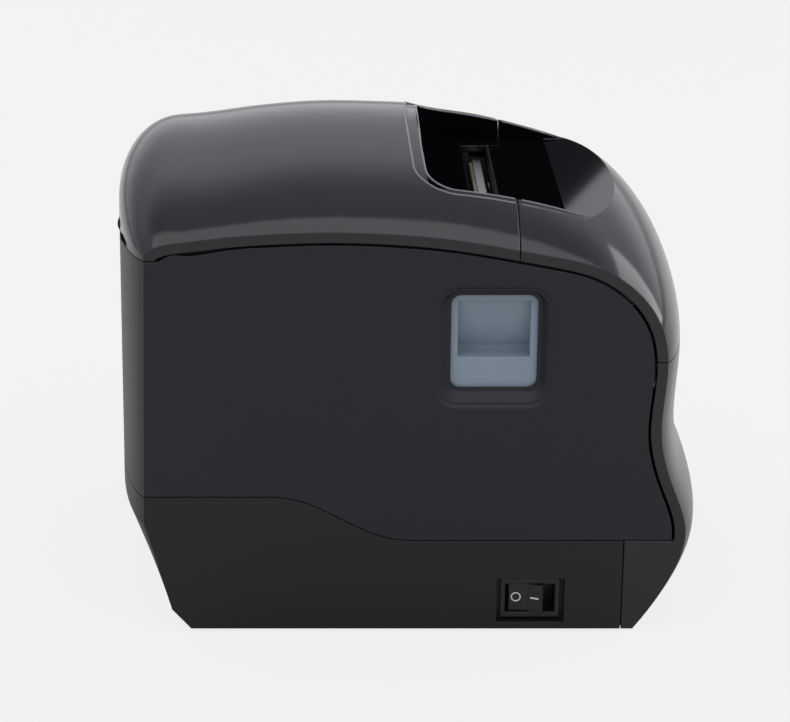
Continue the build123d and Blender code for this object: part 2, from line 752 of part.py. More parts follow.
# Centres and phases of the gear train
gear_reach = gear_module * (platen_teeth + idler_teeth) / 2
idler_y = platen_y + gear_reach * cos(radians(to_idler))
idler_z = platen_z + gear_reach * sin(radians(to_idler))
pinion_reach = gear_module * (idler_teeth + pinion_teeth) / 2
pinion_y = idler_y + pinion_reach * cos(radians(to_pinion))
pinion_z = idler_z + pinion_reach * sin(radians(to_pinion))
idler_pitch = 360 / idler_teeth
idler_phase = to_idler + 180 + idler_pitch / 2
pinion_pitch = 360 / pinion_teeth
past_line = (idler_phase - to_pinion) % idler_pitch
pinion_phase = to_pinion + 180 - past_line * idler_teeth / pinion_teeth + pinion_pitch / 2

# Sheet frame of the mechanism
with BuildPart() as mech_frame:
    for side in (-1, 1):
        with BuildSketch(Plane.YZ.offset(frame_half if side > 0 else -frame_half - sheet)):
            foot_edge = [(frame_front, shelf_z), (frame_rear, shelf_z), (frame_rear, platen_z + 4)]
            horns = [(platen_y, platen_z + 4), (platen_y, platen_z + 6), (platen_y - 9.5, platen_z + 6)]
            slope = [(spring_wall_y - 1, platen_z + 3), (frame_front, platen_z - 18)]
            Polygon(*foot_edge, *horns, *slope, align=None)
            with Locations((platen_y, platen_z)):
                Circle(bush_radius + 0.2, mode=Mode.SUBTRACT)
            with Locations((platen_y, platen_z + 10)):
                Rectangle(2 * bush_radius + 0.4, 20, mode=Mode.SUBTRACT)
            with Locations((head_pivot_y, head_pivot_z)):
                Circle(head_pin_radius, mode=Mode.SUBTRACT)
            if side > 0:
                with Locations((idler_y, idler_z)):
                    Circle(idler_pin_radius, mode=Mode.SUBTRACT)
                with Locations((pinion_y, pinion_z)):
                    Circle(4, mode=Mode.SUBTRACT)
        extrude(amount=sheet)
        for y in frame_tabs:
            box(side * frame_half, side * (frame_half + 8.2), y - 4, y + 4, shelf_z, shelf_z + sheet)
            post(side * (frame_half + 5), y, shelf_z - 1, shelf_z + 3, screw_radius, mode=Mode.SUBTRACT)
    box(-frame_half, frame_half, frame_front, frame_front + sheet, shelf_z, platen_z - 18)
    box(-frame_half, frame_half, spring_wall_y, spring_wall_y + sheet, head_pivot_z - 0.5, platen_z + 3)
finish(mech_frame, "mech_frame")

# Print head on its sprung bracket
head_face = platen_y - platen_radius - paper_gap
with BuildPart() as head_bracket:
    box(-head_half, head_half, head_face - 4.2, head_face - 1.2, head_pivot_z - 1, platen_z + 7)
    rod(-head_half, head_half, head_pivot_y, head_pivot_z, head_pin_radius + 1.7)
    rod(-head_half - 1, head_half + 1, head_pivot_y, head_pivot_z, head_pin_radius + pin_clearance, mode=Mode.SUBTRACT)
finish(head_bracket, "head_bracket")

with BuildPart() as print_head:
    box(-head_half + 1, head_half - 1, head_face - 1.2, head_face, platen_z - 5, platen_z + 6)
finish(print_head, "print_head")

with BuildPart() as head_shaft:
    rod(-frame_half - sheet - 1, frame_half + sheet, head_pivot_y, head_pivot_z, head_pin_radius)
finish(head_shaft, "head_shaft")

with BuildPart() as head_springs:
    spring_start = spring_wall_y + sheet
    spring_end = head_face - 4.2 - 0.1
    for x in (-24, 24):
        with Locations(Location((x, (spring_start + spring_end) / 2, platen_z), (90, 0, 0))):
            Cylinder(2.6, spring_end - spring_start)
            Cylinder(1.8, spring_end - spring_start, mode=Mode.SUBTRACT)
finish(head_springs, "head_springs")

# Tear bar on the edge of the tongue
with BuildPart() as tear_bar:
    with BuildSketch(Plane.XZ.offset(-tear_y)):
        teeth = [(x, floor_z + 1 - 0.9 * (x % 2)) for x in range(-41, 42)]
        Polygon((-41, floor_z - 6), *teeth, (41, floor_z - 6), align=None)
    extrude(amount=-tear_thickness)
finish(tear_bar, "tear_bar")

# Lid frame: carries the platen bushes and the striker pins under the lid
with BuildPart() as lid_frame:
    plate_z = floor_z - wall - 2.6
    box(-striker_rib[1], striker_rib[1], slot_rear + running_gap, lid_boss[1] + 5, plate_z, floor_z - wall)
    for side in (-1, 1):
        box(side * arm_x[0], side * arm_x[1], platen_y - 6.6, platen_y + 6.6, platen_z, floor_z - wall)
        rod(side * arm_x[0], side * arm_x[1], platen_y, platen_z, bush_radius + 1.6)
        rod(side * (arm_x[0] - 1), side * (arm_x[1] + 1), platen_y, platen_z, bush_radius, mode=Mode.SUBTRACT)
        rib_low = striker_z - 2.3
        box(side * striker_rib[0], side * striker_rib[1], striker_y - 3.5, striker_y + 4, rib_low, plate_z + 1)
        rod(side * striker_rib[0], side * striker_rib[1], striker_y, striker_z, striker_radius, mode=Mode.SUBTRACT)
        post(side * lid_boss[0], lid_boss[1], plate_z - 1, floor_z, screw_radius, mode=Mode.SUBTRACT)
    gear_room = (gear_x - 0.6, gear_x + gear_width + 0.6)
    box(*gear_room, platen_y - 11, platen_y + 10, platen_z, floor_z, mode=Mode.SUBTRACT)
finish(lid_frame, "lid_frame")

with BuildPart() as striker_pins:
    for side in (-1, 1):
        rod(side * (hook_inner_x - 0.4), side * striker_rib[1], striker_y, striker_z, striker_radius)
finish(striker_pins, "striker_pins")

# Platen roller, its shaft, bushes and gears
with BuildPart() as platen_roller:
    rod(-platen_half, platen_half, platen_y, platen_z, platen_radius)
    rod(-half, half, platen_y, platen_z, platen_shaft_radius, mode=Mode.SUBTRACT)
finish(platen_roller, "platen_roller")

with BuildPart() as platen_shaft:
    rod(-frame_half - sheet - 1, gear_x + gear_width, platen_y, platen_z, platen_shaft_radius)
finish(platen_shaft, "platen_shaft")

with BuildPart() as platen_bushes:
    for side in (-1, 1):
        rod(side * (platen_half + 0.7), side * (frame_half + sheet), platen_y, platen_z, bush_radius)
    rod(-half, half, platen_y, platen_z, platen_shaft_radius + pin_clearance, mode=Mode.SUBTRACT)
finish(platen_bushes, "platen_bushes")

gear("platen_gear", platen_teeth, platen_y, platen_z, to_idler, platen_shaft_radius)
gear("idler_gear", idler_teeth, idler_y, idler_z, idler_phase, idler_pin_radius + pin_clearance)
gear("motor_pinion", pinion_teeth, pinion_y, pinion_z, pinion_phase, motor_shaft_radius)

with BuildPart() as idler_pin:
    rod(frame_half, gear_x + gear_width + 0.9, idler_y, idler_z, idler_pin_radius)
    rod(gear_x + gear_width + 0.1, gear_x + gear_width + 0.9, idler_y, idler_z, idler_pin_radius + 1.4)
finish(idler_pin, "idler_pin")

with BuildPart() as motor:
    rod(motor_x[0], motor_x[1], pinion_y, pinion_z, motor_radius)
    rod(motor_x[1], frame_half, pinion_y, pinion_z, motor_radius - 4)
    rod(motor_x[1] - 6, frame_half, pinion_y, pinion_z, motor_shaft_radius + pin_clearance, mode=Mode.SUBTRACT)
finish(motor, "motor")

with BuildPart() as motor_shaft:
    rod(motor_x[1] - 5, gear_x + gear_width, pinion_y, pinion_z, motor_shaft_radius)
finish(motor_shaft, "motor_shaft")

def scoop_points(grow):
    """The finger scoop seen from the front, deepest above its ledge, grown by a wall."""
    low, high = scoop_low - grow, scoop_high + grow
    deep = flange_x + scoop_depth + grow
    return [(flange_x, low), (deep, low), (deep, low + 1.5 + grow), (flange_x + 1.5 + grow, high), (flange_x, high)]


# Latch sliders, hooks, pins and springs
hook_arm = [(3, -2), (3, 3), (-2, 5), (-14.5, 7.5), (-16, 10), (-16, 24), (-15.3, 24.2), (-15.3, 26.5)]
hook_arm += [(-17, 27.5), (-21, 26), (-21, 7), (-19, 4), (-4, -4)]
hook_tail = [(-2, -4.5), (-31, -16.4), (-31, -14.7), (-4, -1.5)]

with BuildPart() as latch_left:
    with BuildSketch(Plane.YZ.offset(flange_x)):
        with Locations((latch_y, flange_low + slider_flange[1] / 2)):
            RectangleRounded(*slider_flange, 3)
    extrude(amount=slider_thickness)
    with BuildSketch(Plane.XZ.offset(-latch_y)):
        Polygon(*scoop_points(1.5), align=None)
    extrude(amount=scoop_half + 1.5, both=True)
    with BuildSketch(Plane.XZ.offset(-latch_y)):
        Polygon(*scoop_points(0), align=None)
    extrude(amount=scoop_half, both=True, mode=Mode.SUBTRACT)
    rod(flange_x + slider_thickness, -hook_inner_x + 0.2, latch_y - 2, latch_z - 9.6, peg_radius)
finish(latch_left, "latch_left")

with BuildPart() as latch_right:
    add(latch_left.part.mirror(Plane.YZ))
finish(latch_right, "latch_right")

with BuildPart() as hook_left:
    with BuildSketch(Plane.YZ.offset(-hook_inner_x - hook_thickness)):
        with Locations((hook_y, hook_z)):
            Circle(4.6)
            Polygon(*hook_arm, align=None)
            Polygon(*hook_tail, align=None)
            Circle(hook_pin_radius + pin_clearance, mode=Mode.SUBTRACT)
    extrude(amount=hook_thickness)
finish(hook_left, "hook_left")

with BuildPart() as hook_right:
    add(hook_left.part.mirror(Plane.YZ))
finish(hook_right, "hook_right")

with BuildPart() as hook_pins:
    for side in (-1, 1):
        rod(side * (hook_inner_x - 0.9), side * (half - wall), hook_y, hook_z, hook_pin_radius)
        rod(side * (hook_inner_x - 0.9), side * (hook_inner_x - 0.1), hook_y, hook_z, hook_pin_radius + 1)
finish(hook_pins, "hook_pins")

with BuildPart() as latch_spring_left:
    post(spring_x, latch_y, spring_foot_z, flange_low - 0.1, 3.0)
    post(spring_x, latch_y, spring_foot_z, flange_low - 0.1, 2.1, mode=Mode.SUBTRACT)
finish(latch_spring_left, "latch_spring_left")

with BuildPart() as latch_spring_right:
    add(latch_spring_left.part.mirror(Plane.YZ))
finish(latch_spring_right, "latch_spring_right")

# Board in the base and the ports at the back
with BuildPart() as main_board:
    box(-board_half, board_half, board_y[0], board_y[1], board_z, board_z + 1.6)
    box(-30, -12, 10, 28, board_z + 1.6, board_z + 3.2)
    box(10, 20, -10, 4, board_z + 1.6, board_z + 2.8)
    for x in (-30, -16):
        post(x, 50, board_z + 1.6, board_z + 15, 5.0)
finish(main_board, "main_board")

with BuildPart() as power_inlet:
    with Locations((power_x, port_panel_y - 6, port_mid_z)):
        Box(power_size, 12, port_height)
    with Locations(Location((power_x, port_panel_y, port_mid_z), (90, 0, 0))):
        Cylinder(3.2, 18, mode=Mode.SUBTRACT)
        Cylinder(1.0, 11, align=(Align.CENTER, Align.CENTER, Align.MIN))
    box(power_x - 2, power_x + 2, port_panel_y - 2, port_panel_y, port_z[0] + 5, port_z[0] + 10, mode=Mode.SUBTRACT)
finish(power_inlet, "power_inlet")

with BuildPart() as data_port:
    with Locations((data_x, port_panel_y - 7, port_mid_z)):
        Box(data_size, 14, port_height)
    with Locations((data_x, port_panel_y, port_mid_z)):
        Box(8.4, 18, 7.8, mode=Mode.SUBTRACT)
    with Locations((data_x, port_panel_y - 6, port_mid_z)):
        Box(5.6, 10, 3.2)
finish(data_port, "data_port")

with BuildPart() as paper_sensor:
    box(-5, 5, platen_y + 1, platen_y + 7, deck_z - 10, deck_z - 6.8)
finish(paper_sensor, "paper_sensor")

# Screws
with BuildPart() as base_screws:
    for x, y in leg_places:
        post(x, y, leg_foot_z - 10 - screw_head, leg_foot_z - 10, screw_head_radius)
        post(x, y, leg_foot_z - 10, leg_foot_z + 10, screw_radius)
finish(base_screws, "base_screws")

with BuildPart() as frame_screws:
    for side in (-1, 1):
        for y in frame_tabs:
            post(side * (frame_half + 5), y, shelf_z + sheet, shelf_z + sheet + screw_head, screw_head_radius)
            post(side * (frame_half + 5), y, shelf_z - 6, shelf_z + sheet, screw_radius)
finish(frame_screws, "frame_screws")

with BuildPart() as lid_screws:
    for side in (-1, 1):
        x, y = side * lid_boss[0], lid_boss[1]
        post(x, y, plate_z - screw_head, plate_z, screw_head_radius)
        post(x, y, plate_z, floor_z + 6, screw_radius)
finish(lid_screws, "lid_screws")
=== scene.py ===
import json
from math import radians, sin, cos, tan, pi

import bpy
import bmesh
from mathutils import Matrix, Vector
from mathutils.bvhtree import BVHTree

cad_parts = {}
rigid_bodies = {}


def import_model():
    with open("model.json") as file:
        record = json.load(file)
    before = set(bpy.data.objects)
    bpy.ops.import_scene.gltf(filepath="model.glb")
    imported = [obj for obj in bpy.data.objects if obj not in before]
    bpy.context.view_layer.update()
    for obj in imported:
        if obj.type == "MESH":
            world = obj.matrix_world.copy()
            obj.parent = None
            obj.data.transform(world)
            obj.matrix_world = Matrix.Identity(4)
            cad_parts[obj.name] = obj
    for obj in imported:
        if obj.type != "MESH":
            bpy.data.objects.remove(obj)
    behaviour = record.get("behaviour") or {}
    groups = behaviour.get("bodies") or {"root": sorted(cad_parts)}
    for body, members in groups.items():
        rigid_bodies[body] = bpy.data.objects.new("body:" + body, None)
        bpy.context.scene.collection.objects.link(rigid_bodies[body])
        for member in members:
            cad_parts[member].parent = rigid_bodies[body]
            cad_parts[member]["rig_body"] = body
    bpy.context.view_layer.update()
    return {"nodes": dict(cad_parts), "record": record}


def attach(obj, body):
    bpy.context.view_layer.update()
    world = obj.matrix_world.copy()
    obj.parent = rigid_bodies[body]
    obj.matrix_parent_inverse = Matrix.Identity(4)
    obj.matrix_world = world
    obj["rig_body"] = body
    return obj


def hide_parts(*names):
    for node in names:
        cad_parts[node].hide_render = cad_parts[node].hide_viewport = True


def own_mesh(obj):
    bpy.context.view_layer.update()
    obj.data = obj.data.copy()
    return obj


print("loading the frame")
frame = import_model()
nodes = frame["nodes"]
acrossAxis, depthAxis, upAxis = Vector((1, 0, 0)), Vector((0, 1, 0)), Vector((0, 0, 1))


class Signal:
    # a socket that takes plain arithmetic
    def __init__(self, net, socket):
        self.net = net
        self.socket = socket

    def maths(self, operation, a, b):
        return self.net.node("ShaderNodeMath", {"operation": operation}, {0: a, 1: b})

    def __add__(self, other):
        return self.maths("ADD", self, other)

    __radd__ = __add__

    def __sub__(self, other):
        return self.maths("SUBTRACT", self, other)

    def __rsub__(self, other):
        return self.maths("SUBTRACT", other, self)

    def __mul__(self, other):
        return self.maths("MULTIPLY", self, other)

    __rmul__ = __mul__

    def __gt__(self, other):
        return self.maths("GREATER_THAN", self, other)

    def __lt__(self, other):
        return self.maths("LESS_THAN", self, other)

    def __abs__(self):
        return self.maths("ABSOLUTE", self, 0.0)


class Net:
    # the nodes of one material or of the world
    def __init__(self, tree, emptied=True):
        self.tree = tree
        if emptied:
            tree.nodes.clear()

    def node(self, kind, settings=None, inputs=None, output=0):
        made = self.tree.nodes.new(kind)
        for name, value in (settings or {}).items():
            if name == "stops":
                ramp = made.color_ramp.elements
                ramp.remove(ramp[-1])  # a new ramp has two stops, and the first one is used again
                for i, (place, shade) in enumerate(value):
                    stop = ramp.new(place) if i else ramp[0]
                    stop.position, stop.color = place, tint(shade, shade, shade)
            else:
                setattr(made, name, value)
        for key, value in (inputs or {}).items():
            if isinstance(value, Signal):
                self.tree.links.new(value.socket, made.inputs[key])
            else:
                made.inputs[key].default_value = value
        return Signal(self, made.outputs[output]) if len(made.outputs) else None

    def mixColour(self, share, first, second):
        return self.node("ShaderNodeMix", {"data_type": "RGBA"}, {0: share, 6: first, 7: second}, output=2)

    def axes(self, place):
        split = self.node("ShaderNodeSeparateXYZ", {}, {0: place})
        return [Signal(self, socket) for socket in split.socket.node.outputs]


def tint(red, green, blue):
    return (red, green, blue, 1)


def toned(colour, share):
    return tint(*[c * share for c in colour])


def blankMaterial(name):
    material = bpy.data.materials.new(name)
    material.use_nodes = True
    return material, Net(material.node_tree)


texture = {"bumpDepth": 0.0002, "bevelSamples": 4}
plasticGrain = {"detail": 2.0, "cloudScale": 14.0, "cloudDetail": 3.0, "cloudTone": 1.12, "cloudRough": 0.06,
                "specular": 0.5}
metalGrain = {"run": (40.0, 900.0, 900.0), "detail": 3.0, "brush": 0.05, "brushRough": 0.12,
              "cloudScale": 45.0, "cloudDetail": 2.0, "cloudTone": 0.86, "edge": 0.0002}


def moulded(name, look):
    # moulded plastic: fine texture, faint flow marks, soft edges
    material, net = blankMaterial(name)
    place = net.node("ShaderNodeTexCoord", output=3)
    grain = net.node("ShaderNodeTexNoise", {}, {
        "Vector": place, "Scale": look["grainScale"], "Detail": plasticGrain["detail"]})
    cloud = net.node("ShaderNodeTexNoise", {}, {
        "Vector": place, "Scale": plasticGrain["cloudScale"], "Detail": plasticGrain["cloudDetail"]})
    edge = net.node("ShaderNodeBevel", {"samples": texture["bevelSamples"]}, {"Radius": look["edge"]})
    bump = net.node("ShaderNodeBump", {}, {
        "Strength": look["grain"], "Distance": texture["bumpDepth"], "Height": grain, "Normal": edge})
    shader = net.node("ShaderNodeBsdfPrincipled", {}, {
        "Base Color": net.mixColour(cloud, tint(*look["colour"]), toned(look["colour"], plasticGrain["cloudTone"])),
        "Roughness": look["rough"] + (cloud - 0.5) * plasticGrain["cloudRough"], "Normal": bump,
        "Specular IOR Level": look.get("specular", plasticGrain["specular"])})
    net.node("ShaderNodeOutputMaterial", {}, {"Surface": shader})
    return material


def coverGlossWithPaintedRecessShade(name, look, recess):
    # glossy outside; inside the sunken paper exit a painted shade, darker matt colours standing in for the shade
    # there, polished at the front of its floor
    material = moulded(name, look)
    tree = material.node_tree
    net = Net(tree, emptied=False)
    gloss = next(n for n in tree.nodes if n.type == "BSDF_PRINCIPLED")
    output = next(n for n in tree.nodes if n.type == "OUTPUT_MATERIAL")
    place = net.node("ShaderNodeTexCoord", output=3)
    x, y, z = net.axes(place)
    spread = z * recess["draft"]
    paintedShadeInside = (z > recess["floor"] - recess["under"]) * (recess["half"] + spread > abs(x))
    paintedShadeInside = paintedShadeInside * (recess["back"] + spread > y)
    polished = (recess["front"] > y) * (recess["floor"] + recess["over"] > z)
    speck = net.node("ShaderNodeTexNoise", {}, {
        "Vector": place, "Scale": recess["speckScale"], "Detail": plasticGrain["detail"]})
    grain = net.node("ShaderNodeBump", {}, {
        "Strength": recess["speck"], "Distance": texture["bumpDepth"], "Height": speck})
    # painted shade: the exit's matt colours are far darker than the cover's own black
    matt = net.node("ShaderNodeBsdfPrincipled", {}, {
        "Base Color": net.mixColour(speck, tint(*recess["dark"]), tint(*recess["light"])),
        "Roughness": recess["rough"] + speck * recess["speckRough"], "Normal": grain, "Specular IOR Level": 0.0})
    both = net.node("ShaderNodeMixShader", {}, {0: paintedShadeInside, 1: Signal(net, gloss.outputs[0]), 2: matt})
    mirror = net.node("ShaderNodeBsdfPrincipled", {}, {
        "Base Color": tint(*recess["polish"]), "Roughness": recess["polishRough"]})
    whole = net.node("ShaderNodeMixShader", {}, {0: paintedShadeInside * polished, 1: both, 2: mirror})
    tree.links.new(whole.socket, output.inputs["Surface"])
    return material


def metal(name, look):
    # sheet and turned metal: brushed along one direction
    material, net = blankMaterial(name)
    place = net.node("ShaderNodeTexCoord", output=3)
    along = net.node("ShaderNodeMapping", {}, {"Vector": place, "Scale": metalGrain["run"]})
    brush = net.node("ShaderNodeTexNoise", {}, {"Vector": along, "Scale": 1.0, "Detail": metalGrain["detail"]})
    cloud = net.node("ShaderNodeTexNoise", {}, {
        "Vector": place, "Scale": metalGrain["cloudScale"], "Detail": metalGrain["cloudDetail"]})
    edge = net.node("ShaderNodeBevel", {"samples": texture["bevelSamples"]}, {"Radius": metalGrain["edge"]})
    bump = net.node("ShaderNodeBump", {}, {
        "Strength": look.get("brush", metalGrain["brush"]), "Distance": texture["bumpDepth"],
        "Height": brush, "Normal": edge})
    shader = net.node("ShaderNodeBsdfPrincipled", {}, {
        "Base Color": net.mixColour(cloud, tint(*look["colour"]), toned(look["colour"], metalGrain["cloudTone"])),
        "Metallic": 1.0, "Roughness": look["rough"] + brush * metalGrain["brushRough"], "Normal": bump})
    net.node("ShaderNodeOutputMaterial", {}, {"Surface": shader})
    return material


print("materials")
coverLook = {"colour": (0.0085, 0.0088, 0.0135), "rough": 0.13, "grain": 0.006, "grainScale": 900.0,
             "edge": 0.0008}
# the exit's walls lean outwards, so half and back say where they would stand at height 0; dark, light and polish are
# painted shade, colours darker than the cover's own for the shaded inside of the exit
paperExit = {"draft": 0.268, "floor": 0.149, "under": 0.0001, "over": 0.0003, "half": 0.01222, "back": -0.04848,
             "front": -0.0535, "dark": (0.0012, 0.0012, 0.0016), "light": (0.0024, 0.0023, 0.0031),
             "rough": 0.5, "speck": 0.12, "speckScale": 1800.0, "speckRough": 0.1,
             "polish": (0.004, 0.004, 0.0055), "polishRough": 0.035}
caseLook = {"colour": (0.0118, 0.0113, 0.0168), "rough": 0.42, "grain": 0.05, "grainScale": 1400.0,
            "edge": 0.0005, "specular": 0.33}
bezelLook = {"colour": (0.0085, 0.0083, 0.0110), "rough": 0.20, "grain": 0.012, "grainScale": 900.0,
             "edge": 0.0006}
baseLook = {"colour": (0.0092, 0.0088, 0.0120), "rough": 0.42, "grain": 0.05, "grainScale": 1400.0,
            "edge": 0.0005, "specular": 0.33}
latchLook = {"colour": (0.215, 0.275, 0.335), "rough": 0.40, "grain": 0.03, "grainScale": 1200.0,
             "edge": 0.0006, "specular": 0.35}
innerLook = {"colour": (0.016, 0.016, 0.018), "rough": 0.48, "grain": 0.06, "grainScale": 1200.0,
             "edge": 0.0003}
bayLook = {"colour": (0.040, 0.041, 0.045), "rough": 0.50, "grain": 0.07, "grainScale": 1200.0,
           "edge": 0.0004}
guideLook = {"colour": (0.13, 0.14, 0.15), "rough": 0.42, "grain": 0.04, "grainScale": 1200.0,
             "edge": 0.0003}
acetalLook = {"colour": (0.72, 0.70, 0.64), "rough": 0.38, "grain": 0.02, "grainScale": 900.0,
              "edge": 0.0001}
rubberLook = {"colour": (0.022, 0.022, 0.023), "rough": 0.72, "grain": 0.15, "grainScale": 1500.0,
              "edge": 0.0003, "specular": 0.3}
ceramicLook = {"colour": (0.16, 0.14, 0.11), "rough": 0.22, "grain": 0.01, "grainScale": 900.0,
               "edge": 0.0002}
boardLook = {"colour": (0.012, 0.085, 0.045), "rough": 0.32, "grain": 0.03, "grainScale": 700.0,
             "edge": 0.0001}
buttonLook = {"colour": (0.12, 0.125, 0.135), "rough": 0.36, "grain": 0.03, "grainScale": 1200.0,
              "edge": 0.0005}
lightLook = {"colour": (0.30, 0.62, 0.34), "rough": 0.16, "grain": 0.0, "grainScale": 500.0,
             "edge": 0.0003}
switchLook = {"colour": (0.0075, 0.0075, 0.0082), "rough": 0.30, "grain": 0.02, "grainScale": 1200.0,
              "edge": 0.0004}
portLook = {"colour": (0.012, 0.012, 0.012), "rough": 0.45, "grain": 0.05, "grainScale": 1200.0,
            "edge": 0.0002}

finishes = {
    "cover_gloss": coverGlossWithPaintedRecessShade("coverGloss", coverLook, paperExit),
    "case_satin": moulded("caseSatin", caseLook),
    "bezel_gloss": moulded("bezelGloss", bezelLook),
    "base_satin": moulded("baseSatin", baseLook),
    "latch_blue": moulded("latchBlue", latchLook),
    "inner_black": moulded("innerBlack", innerLook),
    "bay_grey": moulded("bayGrey", bayLook),
    "guide_grey": moulded("guideGrey", guideLook),
    "acetal_white": moulded("acetalWhite", acetalLook),
    "platen_rubber": moulded("platenRubber", rubberLook),
    "foot_rubber": moulded("footRubber", rubberLook),
    "head_ceramic": moulded("headCeramic", ceramicLook),
    "board_green": moulded("boardGreen", boardLook),
    "button_grey": moulded("buttonGrey", buttonLook),
    "light_clear": moulded("lightClear", lightLook),
    "switch_black": moulded("switchBlack", switchLook),
    "port_black": moulded("portBlack", portLook),
    # painted shade: the zinc sheet is darker than bare zinc plate, for the sheet seen in the shade inside the slot
    "zinc_sheet": metal("zincSheet", {"colour": (0.34, 0.34, 0.33), "rough": 0.34, "brush": 0.06}),
    "steel_pin": metal("steelPin", {"colour": (0.62, 0.62, 0.63), "rough": 0.18, "brush": 0.03}),
    "spring_steel": metal("springSteel", {"colour": (0.52, 0.52, 0.53), "rough": 0.26}),
    "screw_steel": metal("screwSteel", {"colour": (0.46, 0.46, 0.47), "rough": 0.28}),
    "motor_steel": metal("motorSteel", {"colour": (0.42, 0.42, 0.43), "rough": 0.36}),
    "bush_brass": metal("bushBrass", {"colour": (0.72, 0.52, 0.24), "rough": 0.28}),
}
blackSteel = metal("blackSteel", {"colour": (0.020, 0.020, 0.022), "rough": 0.42, "brush": 0.04})
for part in frame["record"]["subparts"]:
    coated = nodes[part["node"]].data.materials
    coated.clear()
    # the tear bar shares its slot with the bare sheet but is blackened
    coated.append(blackSteel if part["node"] == "tear_bar" else finishes[part["material_slot"]])


def pieceFrom(name, shape, finish, body):
    # a finished mesh becomes a piece on its body
    bmesh.ops.remove_doubles(shape, verts=shape.verts, dist=1e-7)
    bmesh.ops.recalc_face_normals(shape, faces=shape.faces)
    data = bpy.data.meshes.new(name)
    shape.to_mesh(data)
    shape.free()
    piece = bpy.data.objects.new(name, data)
    bpy.context.scene.collection.objects.link(piece)
    data.materials.append(finish)
    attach(piece, body)
    return piece


def tubeAlong(shape, path, radii, upward, sides):
    # a round wire or bead: a circle at each point, each bridged to the next
    # the first one is closed as it is made, which sets the way the bridges run, and the last one at the end
    loops = []
    for i, at in enumerate(path):
        ahead = (path[min(i + 1, len(path) - 1)] - path[max(i - 1, 0)]).normalized()
        out = ahead.cross(upward).normalized()
        turned = Matrix((out.cross(ahead), out, ahead)).transposed().to_4x4()
        circle = bmesh.ops.create_circle(shape, cap_ends=i == 0, segments=sides, radius=radii[i],
                                         matrix=Matrix.Translation(at) @ turned)
        loops.append(list(dict.fromkeys(edge for corner in circle["verts"] for edge in corner.link_edges)))
    for first, second in zip(loops, loops[1:]):
        for face in bmesh.ops.bridge_loops(shape, edges=first + second)["faces"]:
            face.smooth = True
    bmesh.ops.edgeloop_fill(shape, edges=loops[-1])


print("rim beads of the sunken exit")
# both edges of the stepped rim carry a fine round bead that the rigid covers lack; the beads are light grey, a
# painted highlight for the glints on the edges of the black rim
rim = {"half": 0.045, "rear": -0.0157, "front": -0.0640, "corner": 0.007, "floor": 0.149, "draft": 15.0,
       "seam": -0.036, "gap": 0.0003, "clear": 0.0002, "tip": 0.007, "thinnest": 0.15, "step": 0.0012,
       "cornerSteps": 12, "rearSteps": 24, "sides": 10, "rayFrom": 0.2, "firstGuess": 0.165, "rounds": 4,
       "fewest": 4}
rimBeads = {"inner": {"grow": 0.0003, "radius": 0.00040}, "outer": {"grow": 0.0041, "radius": 0.00038}}
# painted highlight: light grey, far paler than the black cover the beads belong to
beadPaintedHighlight = moulded("beadPaintedHighlight", {"colour": (0.15, 0.155, 0.175), "rough": 0.22, "grain": 0.004,
                                  "grainScale": 900.0, "edge": 0.0001})
castOn = {name: BVHTree.FromPolygons([v.co[:] for v in nodes[name].data.vertices],
                                     [tuple(p.vertices) for p in nodes[name].data.polygons])
          for name in ("lid_shell", "front_cover")}


def rimTrack():
    # skeleton points and outward directions, from the near front round the rear to the far front
    half, rear, front = rim["half"], rim["rear"], rim["front"]
    count = int((rear - front) / rim["step"])
    near = [(Vector((-half, front + (rear - front) * i / count)), Vector((-1, 0))) for i in range(count)]
    for i in range(rim["cornerSteps"] + 1):
        a = radians(180 - 90 * i / rim["cornerSteps"])
        near.append((Vector((-half, rear)), Vector((cos(a), sin(a)))))
    back = [(Vector((-half + 2 * half * i / rim["rearSteps"], rear)), Vector((0, 1)))
            for i in range(1, rim["rearSteps"])]
    far = [(Vector((-base.x, base.y)), Vector((-out.x, out.y))) for base, out in reversed(near)]
    return near + back + far


def onCover(cover, base, out, grow):
    # the drafted rim moves outwards as the cover rises, so its height is found in a few rounds
    z = rim["firstGuess"]
    for _ in range(rim["rounds"]):
        spread = grow + (z - rim["floor"]) * tan(radians(rim["draft"]))
        plan = base + out * (rim["corner"] + spread)
        hit = castOn[cover].ray_cast(Vector((plan.x, plan.y, rim["rayFrom"])), -upAxis)[0]
        if hit is None:
            return None
        z = hit.z
    return hit


def rimStretches(cover, rear, grow):
    # unbroken runs of the rim on one cover, clear of the seam between the covers
    stretches = [[]]
    for base, out in rimTrack():
        at = onCover(cover, base, out, grow)
        raised = at is not None and at.z > rim["floor"] + rim["clear"]
        if raised and (at.y > rim["seam"] + rim["gap"] if rear else at.y < rim["seam"] - rim["gap"]):
            stretches[-1].append(at)
        elif stretches[-1]:
            stretches.append([])
    return [stretch for stretch in stretches if len(stretch) >= rim["fewest"]]


for label, line in rimBeads.items():
    for cover, places in (("lid_shell", ["rear"]), ("front_cover", ["near", "far"])):
        rear = cover == "lid_shell"
        for place, path in zip(places, rimStretches(cover, rear, line["grow"])):
            radii = [line["radius"]] * len(path)
            if not rear:  # the front beads thin out towards the nose
                nose = min(path[0].y, path[-1].y)
                radii = [line["radius"] * max(rim["thinnest"], min(1.0, (p.y - nose) / rim["tip"])) for p in path]
            bead = bmesh.new()
            tubeAlong(bead, path, radii, upAxis, rim["sides"])
            pieceFrom(f"rim_{label}_{place}", bead, beadPaintedHighlight, nodes[cover]["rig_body"])


print("wound springs")
latchSpring = {"x": 0.066, "y": -0.028, "start": 0.0802, "end": 0.0914, "radius": 0.0026, "turns": 6.5,
               "wire": 0.00042, "keep": 0.643}
headSpring = {"x": 0.024, "z": 0.137, "start": -0.0400, "end": -0.0287, "radius": 0.0021, "turns": 7.5,
              "wire": 0.000336, "keep": 0.92}
winding = {"inset": 0.00042, "stepsPerTurn": 20, "closedTurns": 0.1, "closedRise": 0.08, "sides": 8}


